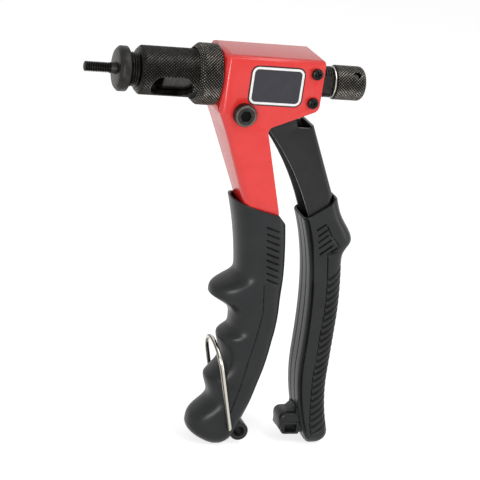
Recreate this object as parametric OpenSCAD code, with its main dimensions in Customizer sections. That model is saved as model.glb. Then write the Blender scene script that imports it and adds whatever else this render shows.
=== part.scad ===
// Hand rivet nut tool. Millimetres, X along the drive axis from the nose to the knob, Z up.
// The origin is the centre of the nosepiece's front face, and y < 0 is the side with the label.

/* [Head shell] */
// Width of the shell over its side walls
shell_w = 36; // [34:0.2:44]
// Height of the top face above the drive axis
shell_top = 16.4; // [15.2:0.2:22]
// Length of the nose, from its front face to the front wall of the shell
shell_front = 59; // [56:0.2:72]
// Length of the head from its front wall to its rear edge
head_len = 58.9; // [56:0.1:70]
// Thickness of the pressed steel
shell_t = 2.5; // [1.5:0.1:2.8]
// Outer radius of the bends round the head
bend_r = 3.6; // [3.4:0.1:5]
// Width of the shell where it enters the fixed grip
mouth_w = 29.4; // [27:0.2:31]
// Height of the lowest corner of the head at the rear
chin_z = -13; // [-14:0.2:-12.4]

/* [Pivot and lever] */
// Distance of the pivot behind the front wall
pivot_back = 14; // [13:0.1:16]
// Distance of the pivot below the drive axis
arm_len = 17.3; // [16.4:0.1:20.8]
// Thread of the pivot bolt
pivot_d = 8; // [6:0.5:9]
// Width of the lever over its cheeks
lever_w = 21; // [20.6:0.2:22]
// Thickness of the lever's steel
lever_t = 2; // [1.6:0.1:2.1]
// Tilt of the fork arms behind the pivot
fork_tilt = 6.65; // [5:0.05:8]

/* [Draw gear] */
// Diameter of the draw tube over its round sides
tube_d = 18.2; // [17.8:0.1:19]
// Width of the draw tube across its flats
tube_flat = 14; // [13.6:0.1:14.6]
// Diameter of the spindle
spindle_d = 10; // [8:0.2:10.6]
// Diameter of the chuck
chuck_d = 19.8; // [18.6:0.1:20.2]
// Diameter of the knob
knob_d = 20.4; // [18:0.2:24]
// Length of the knob
knob_len = 18.7; // [17:0.1:26]
// Reach of the draw tube behind the shell
tube_out = 10.9; // [10:0.1:16]

/* [Nose] */
// Thread of the mandrel
mandrel_d = 6; // [3:0.5:6.4]
// Reach of the mandrel in front of the nosepiece
mandrel_out = 18.3; // [10:0.1:26]
// Diameter of the nosepiece's flange
flange_d = 25.8; // [23:0.2:30]
// Diameter of the adjusting sleeve
sleeve_d = 28.2; // [27.6:0.1:28.8]
// Front end of the adjusting sleeve
sleeve_x = 12; // [10.5:0.5:12.5]
// Width of the windows in the sleeve
window_w = 14; // [8:0.5:15]
// Diameter of the lock ring
ring_d = 35.6; // [33:0.2:40]
// Width of the lock ring
ring_len = 13.3; // [12:0.1:14.5]
// Thread that carries the sleeve and the lock ring
nose_thread_d = 24.8; // [24.4:0.1:25.2]

/* [Grips] */
// Width of the fixed grip at its mouth
fixed_w = 34; // [33.4:0.2:38]
// Length of the fixed grip below the mouths of the grips
fixed_len = 156; // [150:0.2:193]
// Width of the moving grip
moving_w = 25.4; // [24.8:0.2:28]
// Length of the moving grip below the mouths of the grips
moving_len = 155.8; // [148:0.2:190]
// Diameter of the hole for a lanyard
lanyard_d = 6.4; // [4:0.2:7]

/* [Latch] */
// Diameter of the latch wire
wire_d = 2.7; // [2:0.1:3]
// Length of the straight legs of the latch
latch_leg = 38.9; // [37.5:0.1:46]

/* [Clearances] */
// Radial clearance of parts that turn or slide on each other
run_c = 0.08; // [0.05:0.01:0.1]
// Gap between parts that pass each other without touching
pass_c = 0.3; // [0.25:0.05:0.5]
// Gap round a part that is held in a pocket
seat_c = 0.15; // [0.1:0.05:0.25]

/* [Hidden] */
$fn = 64;

steel_black = "#3b3d3e";
grip_black = "#3c3e3f";
shell_red = "#e8413f";
bright = "#c9c6bd";

shell_rear = shell_front + head_len;
half_w = shell_w / 2;
inner_half = half_w - shell_t;
mouth_half = mouth_w / 2;
pivot_x = shell_front + pivot_back;
pivot_z = -arm_len;
tube_end = shell_rear + tube_out;
grip_top = -72;
fixed_end = grip_top - fixed_len;
moving_end = grip_top - moving_len;
cheek_out = lever_w / 2;
cheek_in = cheek_out - lever_t;

// Shapes shared by the pieces

// Solid of revolution about the drive axis, from points [x, radius]
module along_x(points) {
    rotate([0, 90, 0]) rotate_extrude() polygon([for (p = points) [p[1], p[0]]]);
}

module rod_x(r, x0, x1) {
    translate([x0, 0, 0]) rotate([0, 90, 0]) cylinder(r = r, h = x1 - x0);
}

module rod_y(r, y0, y1) {
    translate([0, y0, 0]) rotate([-90, 0, 0]) cylinder(r = r, h = y1 - y0);
}

// Side outline of points [x, z], extruded across the tool
module across(points, y0, y1) {
    translate([0, y1, 0]) rotate([90, 0, 0]) linear_extrude(height = y1 - y0) polygon(points);
}

// Tube section with two flat sides
module double_d(r, flat, x0, x1) {
    intersection() {
        rod_x(r, x0, x1);
        translate([x0 - 1, -flat / 2, -r - 1]) cube([x1 - x0 + 2, flat, 2 * r + 2]);
    }
}

function unit(v) = v / norm(v);
function turn(a) = a > 180 ? a - 360 : a < -180 ? a + 360 : a;

// One corner of an outline, rounded with radius r
function corner(a, b, c, r, steps = 6) =
    let (
        u = unit(a - b),
        v = unit(c - b),
        half = acos(u * v) / 2,
        o = b + unit(u + v) * r / sin(half),
        p = b + u * r / tan(half) - o,
        q = b + v * r / tan(half) - o,
        start = atan2(p[1], p[0]),
        sweep = turn(atan2(q[1], q[0]) - start)
    )
    [for (i = [0:steps]) o + r * [cos(start + sweep * i / steps), sin(start + sweep * i / steps)]];

// Outline of points [x, z, radius], with each corner that has a radius rounded
function rounded(points) =
    let (n = len(points), xz = [for (p = points) [p[0], p[1]]])
    [for (i = [0:n - 1])
        each points[i][2] > 0
            ? corner(xz[(i + n - 1) % n], xz[i], xz[(i + 1) % n], points[i][2])
            : [xz[i]]];

// Smooth line between two points, drawn towards a third
function bow(a, pull, b, steps = 8) =
    [for (i = [0:steps])
        let (t = i / steps)
        (1 - t) * (1 - t) * a + 2 * t * (1 - t) * pull + t * t * b];

// Cross-section of a grip at height z: a superellipse with its own roundness at front and rear
function ring(z, front, rear, half, n_front, n_rear, count) =
    let (mid = rear - 0.45 * (rear - front))
    [for (i = [0:count - 1])
        let (
            t = 360 * i / count,
            c = cos(t),
            s = sin(t),
            e = 2 / (c > 0 ? n_rear : n_front),
            reach = c > 0 ? rear - mid : mid - front
        )
        [mid + reach * sign(c) * pow(abs(c), e), half * sign(s) * pow(abs(s), e), z]];

// Closed skin over rings that are listed from the top down
module loft(rings) {
    n = len(rings[0]);
    last = len(rings) - 1;
    polyhedron(
        points = [for (r = rings) each r],
        faces = [
            [for (i = [n - 1:-1:0]) i],
            for (k = [0:last - 1]) for (i = [0:n - 1])
                [k * n + i, k * n + (i + 1) % n, (k + 1) * n + (i + 1) % n, (k + 1) * n + i],
            [for (i = [0:n - 1]) last * n + i]
        ]
    );
}

function total(v, i = 0) = i < len(v) ? v[i] + total(v, i + 1) : 0;

// Outlines of the two grips, as functions of the height z

function fixed_share(z) = (grip_top - z) / fixed_len;
function moving_share(z) = (grip_top - z) / moving_len;

// Smooth swelling of height 1 at a share of the length, with its own width above and below. A
// higher power makes it blunter on top and steeper at the side.
function swell(s, at, above, below, power_above = 2, power_below = 2) =
    exp(-pow(abs(s - at) / (s < at ? above : below), s < at ? power_above : power_below));

// Front line of the fixed grip without its finger rests
function fixed_spine(z) =
    let (s = fixed_share(z) - 0.4426)
    shell_front + 30.6 - (s < 0 ? 59.2 : 14.8) * s * s;

// Swellings between the fingers: share of the length, reach, width above and below, power above
finger_rests = [
    [0.3883, 15.1, 0.065, 0.04, 3.3], [0.5625, 6.1, 0.027, 0.069, 2.4],
    [0.7341, 9.2, 0.05, 0.091, 1.6], [0.93, 14.2, 0.087, 0.1, 3.2]
];

function fixed_front(z) =
    fixed_spine(z) - total([for (f = finger_rests)
        f[1] * swell(fixed_share(z), f[0], f[2], f[3], f[4], 1.6)]);
function fixed_rear(z) =
    let (s = fixed_share(z) - 0.423)
    shell_front + 57.8 - (s < 0 ? 40.9 : 59.2) * s * s;
function fixed_half(z) = fixed_w / 2 - 3.1 * fixed_share(z);

function moving_front(z) =
    let (s = moving_share(z) - 0.637)
    pivot_x + 62.1 + (s < 0 ? -60.6 * pow(-s, 2.88) : 98.4 * s * s);
function moving_rear(z) =
    let (s = moving_share(z))
    pivot_x + 82.5 - 45.8 * pow(max(0.49 - s, 0), 2) + 104.9 * pow(max(s - 0.7, 0), 2)
    + 6.8 * swell(s, 0.139, 0.073, 0.0445);

// Share of its full size that a grip keeps near its end
function end_share(z, end, len) =
    z > end + len ? 1 : sqrt(max(1 - pow((end + len - z) / (len + 0.4), 2), 0));

// The shell

tang_half = 11.5;
tang_end = fixed_end + 23;

// Handle sections: height, front face, half width, corner radius
handle = [
    [pivot_z - 0.7, shell_front, half_w, bend_r],
    [pivot_z - 13.3, shell_front + 6.4, half_w, bend_r],
    [-76, shell_front + 25.8, mouth_half, bend_r + 2.4],
    [-88, shell_front + 29.6, tang_half, bend_r]
];
// Rear edge of the handle: knee under the head, a point at the grip's mouth, and the lower end
knee = [shell_front + 29.7, -25.4];
handle_mouth = [shell_front + 45.4, -75.2];
handle_foot = [shell_front + 48.6, -86];

// Solid handle inside the sheet's outer face (inset 0), its inner face, or a pocket (inset < 0)
module handle_block(inset) {
    for (k = [0:2]) hull() for (s = [handle[k], handle[k + 1]]) {
        r = max(s[3] - inset, 0.8);
        up = k == 0 && s[0] == handle[0][0] ? 0.6 : 0;
        for (side = [-1, 1]) translate([s[1] + inset + r, side * (s[2] - inset - r), s[0] + up])
            cylinder(r = r, h = 0.01, $fn = 32);
        translate([s[1] + 15, inset - s[2], s[0] + up]) cube([60, 2 * (s[2] - inset), 0.01]);
    }
}

// Side outline of the tang inside the fixed grip, grown by c and open at the rear and below
function tang_front(z) = fixed_spine(z) + 7.2;
function tang_rear(z) = fixed_rear(z) - 3.8;
function tang_line(c, open = 0) =
    let (top = handle_foot[1] + 1, low = tang_end - c - open)
    concat(
        [for (z = [top:-9:tang_end + 1]) [tang_front(z) - c, z]],
        [[tang_front(tang_end) - c, low], [tang_rear(tang_end) + c + open, low]],
        [for (z = [top - 9 * floor((top - tang_end - 1) / 9):9:top]) [tang_rear(z) + c + open, z]]
    );

module head_block(inset) {
    r = bend_r - inset;
    low = handle[0][0];
    intersection() {
        translate([0, 0, low - 0.01]) linear_extrude(height = shell_top - inset - low + 0.01)
            polygon(rounded([
                [shell_front + inset, inset - half_w, r], [shell_rear + 20, inset - half_w, 0],
                [shell_rear + 20, half_w - inset, 0], [shell_front + inset, half_w - inset, r]
            ]));
        rotate([0, 90, 0]) linear_extrude(height = 200) polygon(rounded([
            [inset - shell_top, inset - half_w, r], [40, inset - half_w, 0],
            [40, half_w - inset, 0], [inset - shell_top, half_w - inset, r]
        ]));
    }
}

// Side outline of the sheet: top, rear edge, chin and the rear edge of the handle
function shell_line() = rounded([
    [shell_front, shell_top, bend_r], [shell_rear, shell_top, 1.5], [shell_rear, chin_z, 4.5],
    [each knee, 3.5], [each handle_mouth, 0], [each handle_foot, 0],
    [shell_front + 20, handle_foot[1], 0],
    [shell_front - 4, handle[1][0], 0], [shell_front - 4, handle[0][0] - 0.4, 0],
    [shell_front, handle[0][0] - 0.4, 0]
]);

module shell_solid() {
    intersection() {
        across(shell_line(), -half_w - 1, half_w + 1);
        union() {
            head_block(0);
            handle_block(0);
        }
    }
    across(tang_line(0), -tang_half, tang_half);
}

guide_len = 6.6;
guide_x = shell_rear - 0.7 - guide_len;
screw_x = shell_rear - 4.6;
screw_z = 8.55;
screw_d = 4;

module body_shell() {
    color(shell_red) difference() {
        shell_solid();
        head_block(shell_t);
        handle_block(shell_t);
        across(tang_line(-shell_t, 40), shell_t - tang_half, tang_half - shell_t);
        rod_x(nose_thread_d / 2 + 0.05, shell_front - 2, shell_front + shell_t + 2);
        translate([pivot_x, 0, pivot_z]) rod_y(pivot_d / 2 + 0.05, -half_w - 1, half_w + 1);
        for (z = [-screw_z, screw_z]) translate([screw_x, 0, z])
            rod_y(screw_d / 2 + 0.1, -half_w - 1, half_w + 1);
    }
}

label_l = 30.8;
label_h = 21.4;
label_t = 0.35;

module label_plate() {
    x0 = shell_front + 15.8;
    color("#434248") across(rounded([
        [x0, -label_h / 2, 2.4], [x0 + label_l, -label_h / 2, 2.4],
        [x0 + label_l, label_h / 2, 2.4], [x0, label_h / 2, 2.4]
    ]), -half_w - label_t, -half_w);
}

// Nose

nose_r = nose_thread_d / 2;
nose_bore = nose_r + run_c;
chuck_r = chuck_d / 2;
ring_rear = shell_front - 0.4;
ring_front = ring_rear - ring_len;
sleeve_end = ring_front + 5.8;
nose_front = ring_front - 0.6;

module nose_tube() {
    back = shell_front + shell_t;
    rim = shell_top - shell_t - 0.05;
    color(steel_black) along_x([
        [nose_front, chuck_r + 0.4], [nose_front, nose_r], [back, nose_r], [back, rim],
        [back + 1.2, rim], [back + 1.2, chuck_r + 0.4]
    ]);
}

module nosepiece() {
    r = flange_d / 2;
    color(steel_black) along_x([
        [0, shank_r + run_c], [0, r - 1.8], [1.8, r], [5.8, r], [7.6, nose_shank_r + 0.4],
        [7.6, nose_shank_r], [sleeve_x + 5.5, nose_shank_r], [sleeve_x + 5.5, shank_r + run_c]
    ]);
}

nose_shank_r = 9.8;
shank_r = mandrel_d / 2 + 0.25;
window_x = [sleeve_x + 6.4, ring_front - 2.1];
window_turn = 30;

module adjusting_sleeve() {
    r = sleeve_d / 2;
    step = window_x[1] + 0.2;
    w = window_w / 2;
    color(steel_black) difference() {
        along_x([
            [sleeve_x, nose_shank_r + run_c], [sleeve_x, r - 2.1], [sleeve_x + 2, r],
            [sleeve_end, r], [sleeve_end, nose_bore], [step, nose_bore], [step, chuck_r + 0.6],
            [sleeve_x + 6, chuck_r + 0.6], [sleeve_x + 6, nose_shank_r + run_c]
        ]);
        rotate([window_turn, 0, 0]) {
            for (x = [window_x[0] + w, window_x[1] - w]) translate([x, 0, 0]) rod_y(w, -r - 1, r + 1);
            translate([window_x[0] + w, -r - 1, -w])
                cube([window_x[1] - window_x[0] - window_w, 2 * r + 2, window_w]);
        }
    }
}

module lock_ring() {
    r = ring_d / 2;
    lip = sleeve_d / 2 + 0.6;
    color(steel_black) along_x([
        [ring_front, lip], [ring_front, lip + 0.7], [ring_front + 2.7, r], [ring_rear - 0.5, r],
        [ring_rear, r - 0.5], [ring_rear, nose_bore], [sleeve_end + 0.4, nose_bore],
        [sleeve_end + 0.4, lip]
    ]);
}

// Turning parts

chuck_front = 26;
chuck_split = 33.2;
chuck_rear = shell_front + 6.9;
spigot_r = 4;
hex_af = 6;
head_r = 5;

module mandrel() {
    color(steel_black) {
        along_x([
            [-mandrel_out, 0], [-mandrel_out, mandrel_d / 2 - 0.8], [0.8 - mandrel_out, mandrel_d / 2],
            [-3.2, mandrel_d / 2], [-3.2, shank_r], [chuck_front + 2.4, shank_r],
            [chuck_front + 2.4, head_r], [chuck_split + 0.4, head_r], [chuck_split + 0.4, 0]
        ]);
        translate([chuck_split + 0.3, 0, 0]) rotate([0, 90, 0])
            cylinder(d = hex_af / cos(30), h = 7.2, $fn = 6);
    }
}

module chuck_nut() {
    color("#6d6c6a") along_x([
        [chuck_front, shank_r + 0.1], [chuck_front, chuck_r - 0.5], [chuck_front + 0.5, chuck_r],
        [chuck_split - 0.1, chuck_r], [chuck_split - 0.1, 7.6], [chuck_front + 2.3, 7.6],
        [chuck_front + 2.3, shank_r + 0.1]
    ]);
}

module mandrel_chuck() {
    color("#6d6c6a") difference() {
        along_x([
            [chuck_front + 2.4, 0], [chuck_front + 2.4, 7.5], [chuck_split, 7.5],
            [chuck_split, chuck_r], [chuck_rear, chuck_r], [chuck_rear, 0]
        ]);
        rod_x(head_r + 0.1, chuck_front, chuck_split + 0.5);
        translate([chuck_split, 0, 0]) rotate([0, 90, 0])
            cylinder(d = (hex_af + 0.3) / cos(30), h = 9, $fn = 6);
        rod_x(spigot_r + 0.05, 49, chuck_rear + 1);
    }
}

spindle_r = spindle_d / 2;
washer_t = 1;
knob_x = tube_end + washer_t + 0.2;
knob_end = knob_x + knob_len;
pin_x = knob_end - 6.6;
pin_turn = -42;
pin_r = 1.6;

module spindle() {
    color(steel_black) difference() {
        union() {
            rod_x(spigot_r, 50, chuck_rear + 0.2);
            rod_x(spindle_r, chuck_rear + 0.1, knob_end - 3.5);
        }
        translate([pin_x, 0, 0]) rotate([pin_turn, 0, 0]) rod_y(pin_r, -20, 20);
    }
}

module thrust_washer() {
    color(bright) difference() {
        rod_x(spindle_r + 3, tube_end + 0.1, tube_end + 0.1 + washer_t);
        rod_x(spindle_r + 0.05, tube_end, knob_x + 1);
    }
}

module knob() {
    r = knob_d / 2;
    end_r = 3.4;
    color(steel_black) difference() {
        along_x(concat(
            [[knob_x, 0], [knob_x, r - 0.9], [knob_x + 0.9, r]],
            [for (a = [0:15:90]) [knob_end - end_r + end_r * sin(a), r - end_r + end_r * cos(a)]],
            [[knob_end, 0]]
        ));
        rod_x(spindle_r + 0.05, knob_x - 1, knob_end - 3.2);
        translate([pin_x, 0, 0]) rotate([pin_turn, 0, 0]) rod_y(pin_r, -r - 1, r + 1);
    }
}

module knob_pin() {
    color(steel_black) translate([pin_x, 0, 0]) rotate([pin_turn, 0, 0])
        rod_y(pin_r, 2 - knob_d / 2, knob_d / 2 - 2);
}

// Draw gear

trunnion_x = pivot_x + arm_len * tan(fork_tilt);
trunnion_r = 3;
block_l = 10;
block_half = cheek_in - pass_c;
neck_r = 6.9;
shoulder_x = trunnion_x + block_l / 2 + 0.05;

module draw_tube() {
    color(steel_black) difference() {
        union() {
            rod_x(neck_r, chuck_rear + 0.3, shoulder_x + 0.1);
            double_d(tube_d / 2, tube_flat, shoulder_x, tube_end);
        }
        rod_x(spindle_r + run_c, chuck_rear, tube_end + 1);
    }
}

module trunnion_block() {
    color(steel_black) translate([trunnion_x, 0, 0]) difference() {
        union() {
            translate([-block_l / 2, -block_half, -9]) cube([block_l, 2 * block_half, 18]);
            rod_y(trunnion_r, -cheek_out - 0.7, cheek_out + 0.7);
        }
        rod_x(neck_r + 0.05, -block_l, block_l);
    }
}

module draw_nut() {
    back = trunnion_x - block_l / 2 - 0.05;
    color(bright) difference() {
        translate([back - 3.3, 0, 0]) rotate([0, 90, 0])
            cylinder(d = 15.6 / cos(30), h = 3.3, $fn = 6);
        rod_x(neck_r + 0.05, back - 5, back + 1);
    }
}

module rear_guide() {
    half = inner_half - 0.05;
    top = shell_top - shell_t - 0.05;
    low = -11.6;
    r = bend_r - shell_t + 0.2;
    color("#8b8b88") difference() {
        translate([guide_x, 0, 0]) rotate([90, 0, 90]) linear_extrude(height = guide_len)
            polygon(rounded([[-half, low, 0], [half, low, 0], [half, top, r], [-half, top, r]]));
        double_d(tube_d / 2 + run_c, tube_flat + 2 * run_c, guide_x - 1, guide_x + guide_len + 1);
        for (side = [-1, 1]) for (z = [-screw_z, screw_z]) translate([screw_x, 0, z])
            rod_y(screw_d / 2 + 0.05, side > 0 ? 9 : -inner_half, side > 0 ? inner_half : -9);
    }
}

module guide_screw() {
    head_h = 2.1;
    difference() {
        union() {
            rod_y(screw_d / 2, 9.3, half_w + 0.1);
            translate([0, half_w, 0]) rotate([-90, 0, 0]) rotate_extrude() polygon(concat(
                [[0, 0], [3.3, 0]],
                [for (a = [0:15:75]) [2 + 1.3 * cos(a), 0.8 + 1.3 * sin(a)]],
                [[2, head_h], [0, head_h]]
            ));
        }
        for (a = [0, 90]) rotate([0, a + 20, 0])
            translate([-1.9, half_w + head_h - 1.3, -0.45]) cube([3.8, 2, 0.9]);
    }
}

module guide_screws() {
    color(steel_black) for (side = [0, 180]) for (z = [-screw_z, screw_z])
        translate([screw_x, 0, z]) rotate([0, 0, side]) guide_screw();
}

// Pivot

bolt_head_h = 5;
bush_r = pivot_d / 2 + 1.95;
nut_h = 6.4;

module pivot_bolt() {
    head = pivot_d / 2 + 2.5;
    color(steel_black) translate([pivot_x, 0, pivot_z]) difference() {
        union() {
            rod_y(pivot_d / 2, -half_w - 1, half_w + nut_h + 0.6);
            translate([0, -half_w, 0]) rotate([90, 0, 0]) rotate_extrude() polygon([
                [0, 0], [head, 0], [head, bolt_head_h - 0.7], [head - 0.7, bolt_head_h],
                [0, bolt_head_h]
            ]);
        }
        translate([0, -half_w - bolt_head_h - 1, 0]) rotate([-90, 0, 0])
            cylinder(d = pivot_d * 0.75 / cos(30), h = 4.2, $fn = 6);
    }
}

module pivot_nut() {
    color(steel_black) translate([pivot_x, half_w, pivot_z]) difference() {
        rotate([-90, 0, 0]) cylinder(d = (pivot_d + 5) / cos(30), h = nut_h, $fn = 6);
        rod_y(pivot_d / 2 + 0.05, -1, nut_h + 1);
    }
}

module pivot_bush() {
    color(bright) translate([pivot_x, 0, pivot_z]) difference() {
        rod_y(bush_r, 0.05 - inner_half, inner_half - 0.05);
        rod_y(pivot_d / 2 + 0.05, -half_w, half_w);
    }
}

module pivot_spacers() {
    color(bright) for (side = [0, 180]) translate([pivot_x, 0, pivot_z]) rotate([0, 0, side])
        difference() {
            rod_y(bush_r + 2.2, cheek_out + pass_c, inner_half - 0.05);
            rod_y(bush_r + 0.05, 0, half_w);
        }
}

// Lever

web_top = [pivot_x + 47.2, -24.4];
web_low = [pivot_x + 65.8, -66.2];
web_foot = [pivot_x + 66, -80];
tang_depth = 12.6;
lever_end = moving_end + 27.8;

// Cheek outline: top edge with the scoop that clears the rear guide, rear edge, front edge
function cheek_line() = concat(
    rounded([
        [pivot_x + 2, pivot_z + 5.3, 0], [pivot_x + 11, pivot_z + 4.8, 2], [pivot_x + 34.2, -19.2, 1.5],
        [pivot_x + 36.8, -26, 2], [pivot_x + 45, -26, 0.8], [pivot_x + 45.2, web_top[1], 0]
    ]),
    [web_top, web_low, web_foot, [lever_rear(-84), -84], [lever_front(-84), -84]],
    bow([pivot_x + 51.9, -78.6], [pivot_x + 40.5, -50.3], [pivot_x + 19.8, pivot_z - 11]),
    [[pivot_x + 17, pivot_z - 10.9], [pivot_x, pivot_z - bush_r - 2.5]]
);

function lever_front(z) = moving_front(z) + 3;
function lever_rear(z) = lever_front(z) + tang_depth;

// Side outline of the lever inside the moving grip, grown by c and open at the front and below
function lever_tang(c, open = 0) =
    let (top = web_foot[1] - 1, low = lever_end - c - open)
    concat(
        [for (z = [top:-9:lever_end + 1]) [lever_front(z) - c - open, z]],
        [[lever_front(lever_end) - c - open, low], [lever_rear(lever_end) + c, low]],
        [for (z = [top - 9 * floor((top - lever_end - 1) / 9):9:top]) [lever_rear(z) + c, z]]
    );

// Solid with the two rounded bends behind the cheeks
module web_block(inset) {
    r = 3.4 - inset;
    top = web_top + (web_top - web_low) * 0.02;
    hull() for (p = [top, web_low, web_foot - [0, 2]]) {
        for (side = [-1, 1]) translate([p[0] - inset - r, side * (cheek_out - inset - r), p[1]])
            cylinder(r = r, h = 0.01, $fn = 32);
        translate([pivot_x - 13, inset - cheek_out, p[1]])
            cube([30, 2 * (cheek_out - inset), 0.01]);
    }
}

module lever_channel() {
    color(steel_black) difference() {
        union() {
            intersection() {
                across(cheek_line(), -cheek_out, cheek_out);
                union() {
                    web_block(0);
                    translate([pivot_x - 13, -cheek_out, web_top[1]]) cube([80, lever_w, 60]);
                }
            }
            across(lever_tang(0), -cheek_out, cheek_out);
            translate([pivot_x, 0, pivot_z]) {
                rod_y(bush_r + 2.5, -cheek_out, cheek_out);
                rotate([0, fork_tilt, 0]) translate([-5.8, -cheek_out, 0])
                    cube([11.6, lever_w, arm_len / cos(fork_tilt) + 5.5]);
            }
        }
        web_block(lever_t);
        translate([pivot_x - 23, -cheek_in, web_top[1] - 0.1]) cube([100, 2 * cheek_in, 60]);
        across(lever_tang(-lever_t, 20), -cheek_in, cheek_in);
        translate([pivot_x, 0, pivot_z]) {
            rod_y(bush_r + 0.05, -cheek_out - 1, cheek_out + 1);
            rotate([0, fork_tilt, 0]) translate([0, 0, arm_len / cos(fork_tilt)]) {
                rod_y(trunnion_r + pass_c, -cheek_out - 1, cheek_out + 1);
                translate([-trunnion_r - pass_c, -cheek_out - 1, 0])
                    cube([2 * (trunnion_r + pass_c), lever_w + 2, 10]);
            }
        }
    }
}

// Grips

lanyard = [shell_front + 44.2, fixed_end + 8.6];
lanyard_lug_r = lanyard_d / 2 + 2.6;
latch_pivot = [shell_front + 36, fixed_end + 12.4];
wire_r = wire_d / 2;
latch_half = fixed_half(latch_pivot[1]) + wire_r + 0.6;

// Room for the foot of the shell's handle inside the fixed grip
module handle_pocket() {
    intersection() {
        handle_block(-seat_c);
        across([
            [shell_front, -55], [shell_front + 40, -55], handle_mouth + [seat_c, 0],
            handle_foot + [seat_c, -seat_c], [shell_front, handle_foot[1] - seat_c]
        ], -half_w, half_w);
    }
}

module fixed_grip() {
    low = fixed_end + 8.6;
    levels = concat([for (z = [-60:-4:low]) z], [for (d = [6.6, 4.6, 2.8, 1.4, 0.2]) fixed_end + d]);
    mid = shell_front + 31;
    rings = [for (z = levels)
        let (s = end_share(z, fixed_end, 8))
        ring(
            z, mid + s * (fixed_front(z) - mid), mid + s * (fixed_rear(z) - mid),
            fixed_half(z) * (0.4 + 0.6 * s), 2.3, 4, 28
        )];
    color(grip_black) difference() {
        union() {
            loft(rings);
            translate([lanyard[0], 0, lanyard[1]]) rod_y(lanyard_lug_r, -10.5, 10.5);
        }
        across([for (p = [
            [-19, -30], [-19, -61.9], [18, -71.3], [46.2, -78.4], [53, -85.4], [75, -85.4], [75, -30]
        ]) p + [shell_front, 0]], -30, 30);
        handle_pocket();
        across(tang_line(seat_c), -tang_half - seat_c, tang_half + seat_c);
        translate([lanyard[0], 0, lanyard[1]]) rod_y(lanyard_d / 2, -20, 20);
        for (side = [0, 180]) translate([latch_pivot[0], 0, latch_pivot[1]]) rotate([0, 0, side])
            rod_y(wire_r + run_c, 9.8, 20);
    }
}

lug_x = pivot_x + 57;
lug_z = [moving_end + 5.8, moving_end + 17.6];

module moving_grip() {
    low = moving_end + 12.8;
    levels = concat([for (z = [-62:-5:low]) z], [for (d = [9.8, 6.8, 3.8, 1.8, 0.2]) moving_end + d]);
    mid = pivot_x + 76.5;
    rings = [for (z = levels)
        let (s = end_share(z, moving_end, 8))
        ring(
            z, mid + s * (moving_front(z) - mid), mid + s * (moving_rear(z) - mid),
            moving_w / 2 * (0.6 + 0.4 * s), 7, 3, 24
        )];
    color(grip_black) difference() {
        union() {
            loft(rings);
            across(rounded([
                [lug_x + 2.6, lug_z[0], 1.2], [lug_x + 18, lug_z[0] + 1, 0],
                [lug_x + 18, lug_z[1] + 8, 0], [lug_x + 8.6, lug_z[1] + 8, 0],
                [lug_x, lug_z[1] - 1.2, 2.2]
            ]), -9, 9);
        }
        across([for (p = [
            [27, -30], [27, -98.2], [52.2, -79.9], [65.2, -71], [67.6, -67.8],
            [69.4, -67.8], [73.8, -73.6], [97, -73.6], [97, -30]
        ]) p + [pivot_x, 0]], -30, 30);
        across(lever_tang(seat_c), -cheek_out - seat_c, cheek_out + seat_c);
        across([for (p = [[49, -60], [49.6, -78], [53.6, -86], [66.6, -86], [67.2, -60]])
            p + [pivot_x, 0]], -cheek_out - seat_c, cheek_out + seat_c);
        for (y = [-10, 4]) translate([lug_x + 5.6, y, lug_z[0] + 2]) cube([6, 6, 4.6]);
    }
}

// Latch

latch_tilt = -15;

module latch_bail() {
    color(bright) translate([latch_pivot[0], 0, latch_pivot[1]]) rotate([0, latch_tilt, 0]) {
        for (side = [-1, 1]) translate([0, side * latch_half, 0]) {
            cylinder(r = wire_r, h = latch_leg);
            sphere(r = wire_r);
            rod_y(wire_r, side > 0 ? 10 - latch_half : 0, side > 0 ? 0 : latch_half - 10);
        }
        translate([0, 0, latch_leg]) rotate([90, 0, 90]) rotate_extrude(angle = 180)
            translate([latch_half, 0]) circle(r = wire_r);
    }
}

body_shell();
label_plate();
nose_tube();
rear_guide();
guide_screws();
pivot_bolt();
pivot_nut();
pivot_bush();
pivot_spacers();
fixed_grip();
lever_channel();
moving_grip();
draw_tube();
trunnion_block();
draw_nut();
spindle();
mandrel_chuck();
chuck_nut();
mandrel();
thrust_washer();
knob();
knob_pin();
nosepiece();
adjusting_sleeve();
lock_ring();
latch_bail();
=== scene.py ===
"""Hand rivet nut tool: finishes, knurls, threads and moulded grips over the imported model.

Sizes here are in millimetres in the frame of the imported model, and in metres for the floor, lamps and
camera. X runs along the drive axis from the nose to the knob, Z is up, and y < 0 is the side with the
label."""
import math

import bmesh
import bpy
import numpy as np
from mathutils import Matrix, Vector
from mathutils.kdtree import KDTree


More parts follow.
